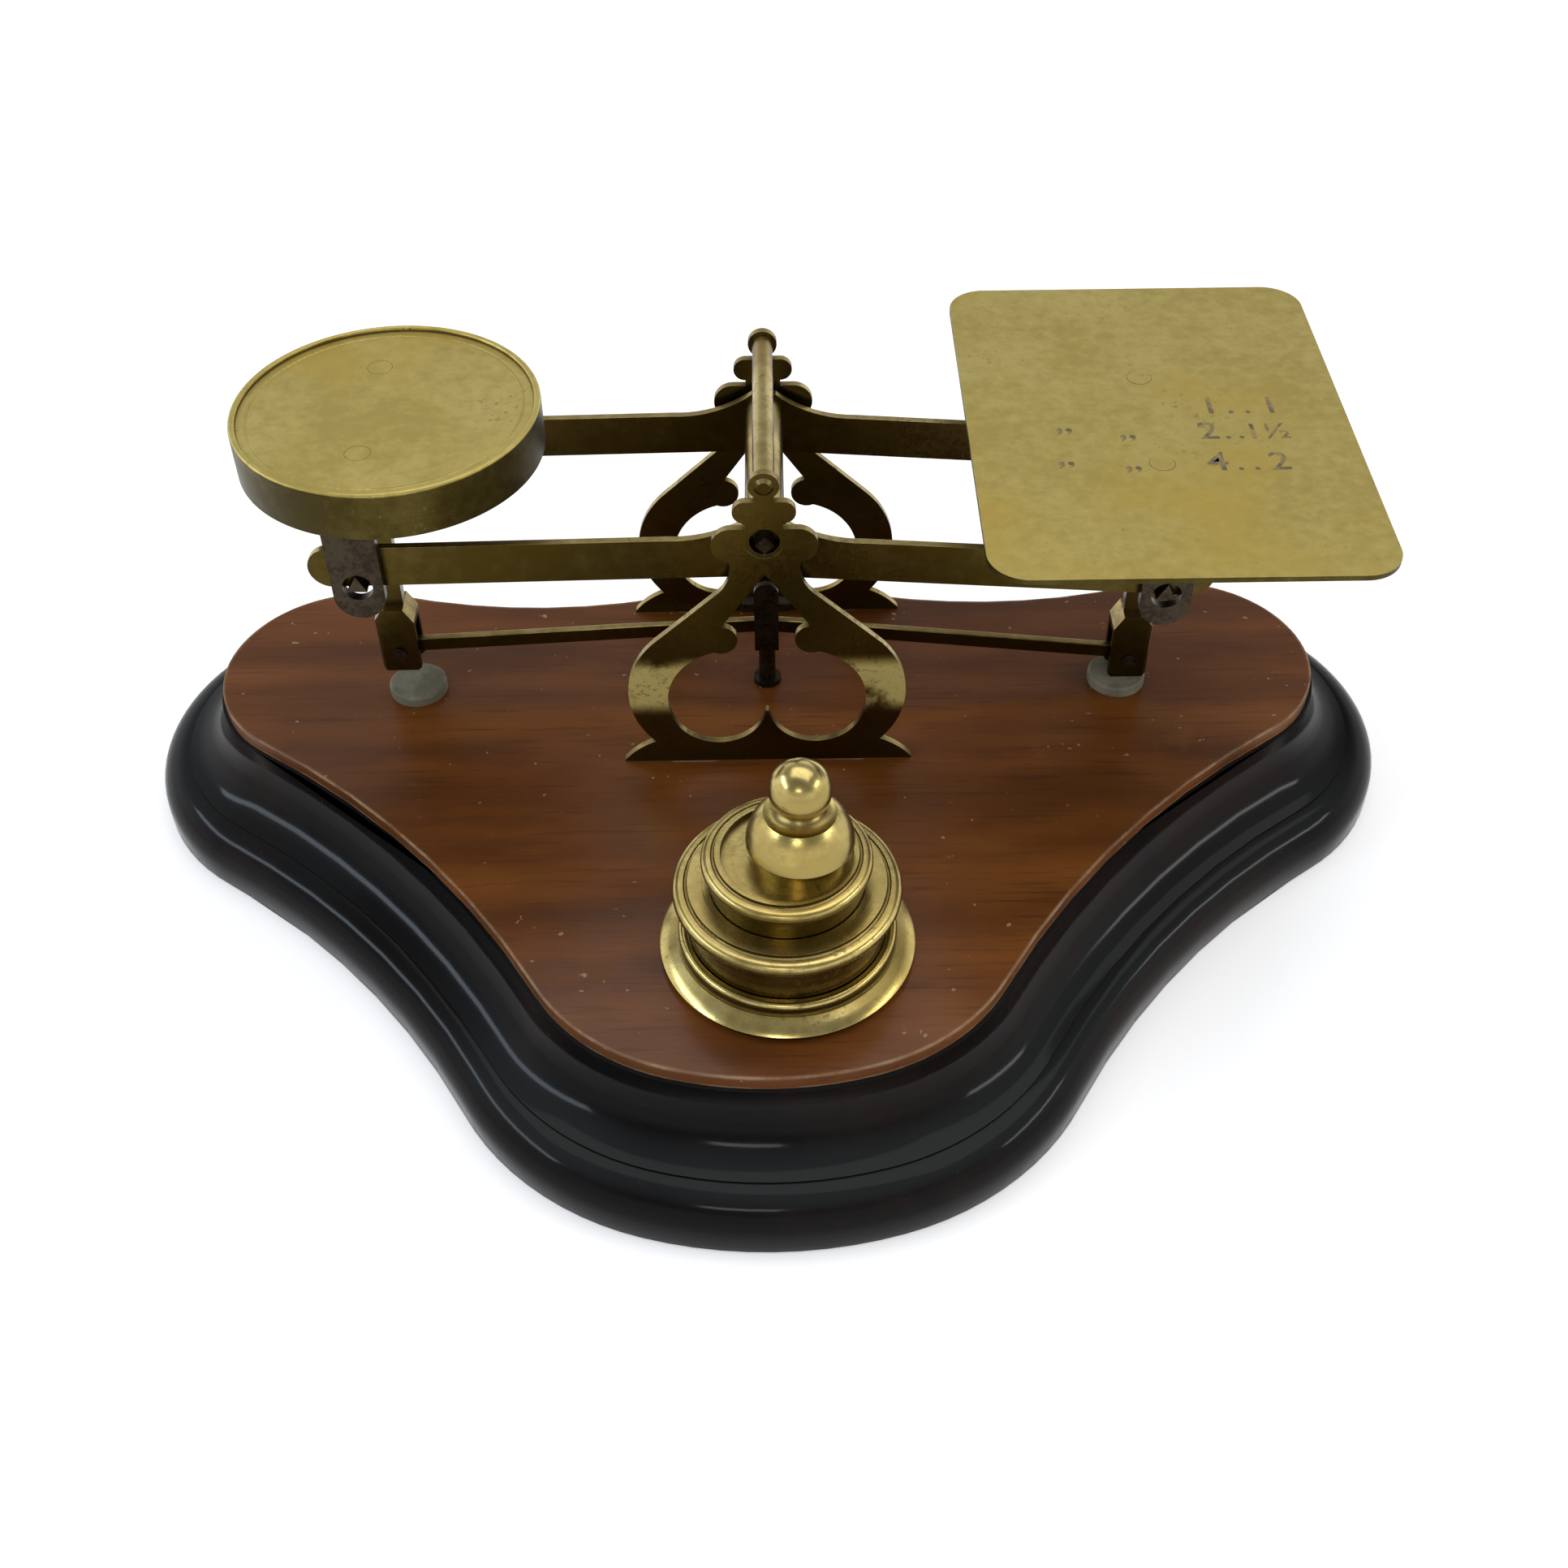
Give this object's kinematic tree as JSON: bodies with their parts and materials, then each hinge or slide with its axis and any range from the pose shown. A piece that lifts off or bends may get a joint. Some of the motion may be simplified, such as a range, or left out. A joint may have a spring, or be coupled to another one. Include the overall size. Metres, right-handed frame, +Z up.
{
  "type": "postal scale",
  "caption": "Antique brass letter balance on a lobed ebonised base: a twin-bar beam on knife edges carries a round pan and a rectangular letter plate, with a stack of brass weights.",
  "frame": {"origin": "middle of the base's length and depth, on its underside", "axes": "+Z up, +X along the beam towards the letter plate, -Y towards the lobe that holds the weights"},
  "size_m": [0.2154, 0.1378, 0.0789],
  "materials": {
    "ebonised": "gloss black polish",
    "mahogany": "polished",
    "frame_brass": "aged, brown-olive patina",
    "bar_brass": "aged satin",
    "plate_brass": "worn matt",
    "turned_brass": "turned, handled",
    "grey_steel": "dulled",
    "buffer_felt": "worn grey-green felt"
  },
  "bodies": {
    "base": {"plinth": "ebonised", "panel": "mahogany", "frame_front": "frame_brass", "frame_rear": "frame_brass", "tie_rod": "bar_brass", "post": "grey_steel", "post_pin": "grey_steel", "buffer_left": "buffer_felt", "buffer_right": "buffer_felt"},
    "beam": {"beam_front": "bar_brass", "beam_rear": "bar_brass", "beam_sleeve": "bar_brass", "middle_knife": "grey_steel", "end_knives": "grey_steel"},
    "stay": {"stay": "bar_brass"},
    "pan_carrier": {"pan_yoke": "bar_brass", "pan_bearings": "grey_steel", "pan_pin": "grey_steel", "pan": "plate_brass", "pan_rivets": "plate_brass"},
    "letter_carrier": {"plate_yoke": "bar_brass", "plate_bearings": "grey_steel", "plate_pin": "grey_steel", "letter_plate": "plate_brass", "plate_rivets": "plate_brass"},
    "foot_weight": {"weight_foot": "turned_brass"},
    "large_weight": {"weight_large": "turned_brass"},
    "small_weight": {"weight_small": "turned_brass"},
    "knob_weight": {"weight_knob": "turned_brass"}
  },
  "joints": [
    {"name": "beam_rock", "type": "hinge", "parent": "base", "child": "beam", "pos_m": [0, 0.02965, 0.0643], "axis": [0, 1, 0], "range_deg": [-3.4, 0]},
    {"name": "stay_rock", "type": "hinge", "parent": "base", "child": "stay", "pos_m": [0, 0.02965, 0.035], "axis": [0, 1, 0], "range_deg": [-3.4, 0]},
    {"name": "pan_level", "type": "hinge", "parent": "beam", "child": "pan_carrier", "pos_m": [-0.06143, 0.02965, 0.06092], "axis": [0, 1, 0], "range_deg": [0, 3.4]},
    {"name": "letter_level", "type": "hinge", "parent": "beam", "child": "letter_carrier", "pos_m": [0.06112, 0.02965, 0.05728], "axis": [0, 1, 0], "range_deg": [0, 3.4]},
    {"name": "foot_lift", "type": "slide", "parent": "base", "child": "foot_weight", "axis": [0, 0, 1], "range_m": [0, 0.06]},
    {"name": "large_lift", "type": "slide", "parent": "foot_weight", "child": "large_weight", "axis": [0, 0, 1], "range_m": [0, 0.06]},
    {"name": "small_lift", "type": "slide", "parent": "large_weight", "child": "small_weight", "axis": [0, 0, 1], "range_m": [0, 0.06]},
    {"name": "knob_lift", "type": "slide", "parent": "small_weight", "child": "knob_weight", "axis": [0, 0, 1], "range_m": [0, 0.06]}
  ],
  "couplings": [
    {"joint": "stay_rock", "follows": "beam_rock", "ratio": 1},
    {"joint": "pan_level", "follows": "beam_rock", "ratio": -1},
    {"joint": "letter_level", "follows": "beam_rock", "ratio": -1}
  ]
}
